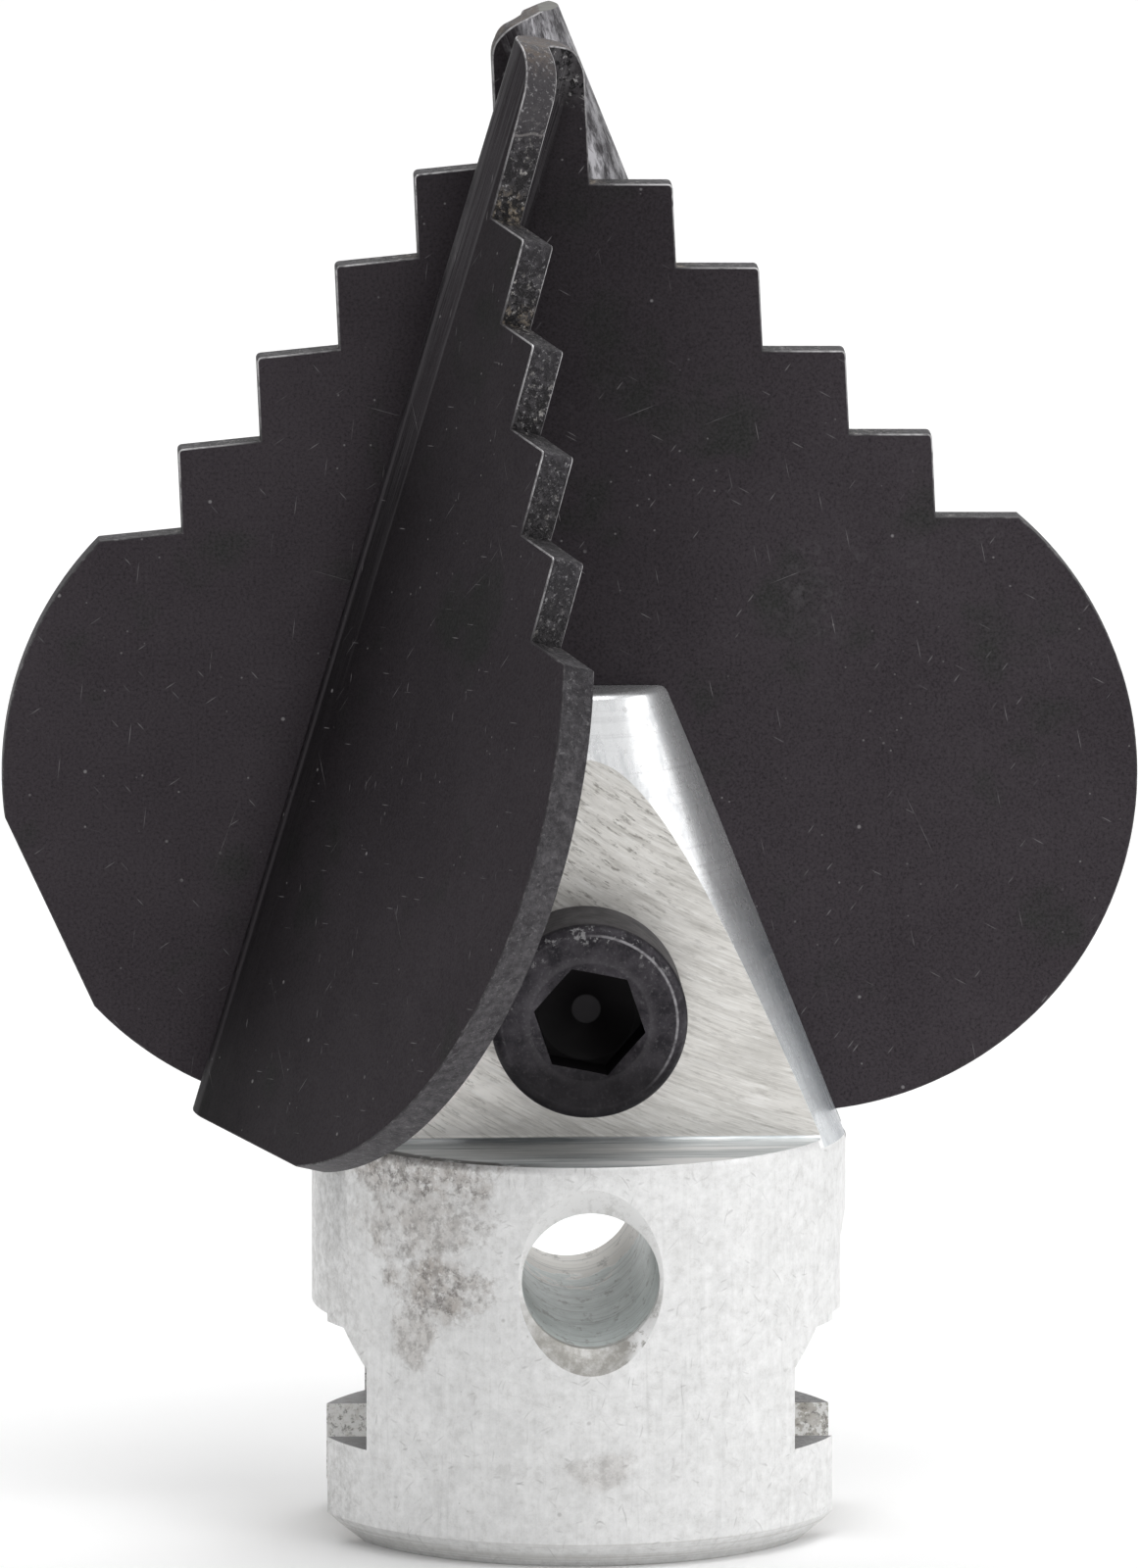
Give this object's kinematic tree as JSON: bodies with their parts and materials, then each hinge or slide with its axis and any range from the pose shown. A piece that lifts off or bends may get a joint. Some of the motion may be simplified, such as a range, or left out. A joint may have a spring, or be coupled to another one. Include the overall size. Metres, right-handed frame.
{
  "type": "drain cutter head",
  "caption": "Toothed cross-blade cutter head for a drain-cleaning spiral: two folded sheet blades clamped by a screw in a coupling head with a T-slot.",
  "frame": {"origin": "on the head's axis, level with its bottom face", "axes": "+Z along the head's axis from the coupling foot to the cutting tip; X along the T-slot and the slot that holds the blades; -Y towards the clamp screw's head"},
  "size_m": [0.0578, 0.0576, 0.0779],
  "materials": {
    "coupling_head": "turned and milled steel, bright zinc plated",
    "front_blade": "hardened sheet steel, black oxide",
    "rear_blade": "hardened sheet steel, black oxide",
    "clamp_screw": "alloy steel, black oxide"
  },
  "bodies": {
    "cutter": {"coupling_head": "coupling_head", "front_blade": "front_blade", "rear_blade": "rear_blade"},
    "screw": {"clamp_screw": "clamp_screw"}
  },
  "joints": [
    {"name": "screw_slide", "type": "slide", "parent": "cutter", "child": "screw", "axis": [0, -1, 0], "range_m": [0, 0.0124]}
  ]
}
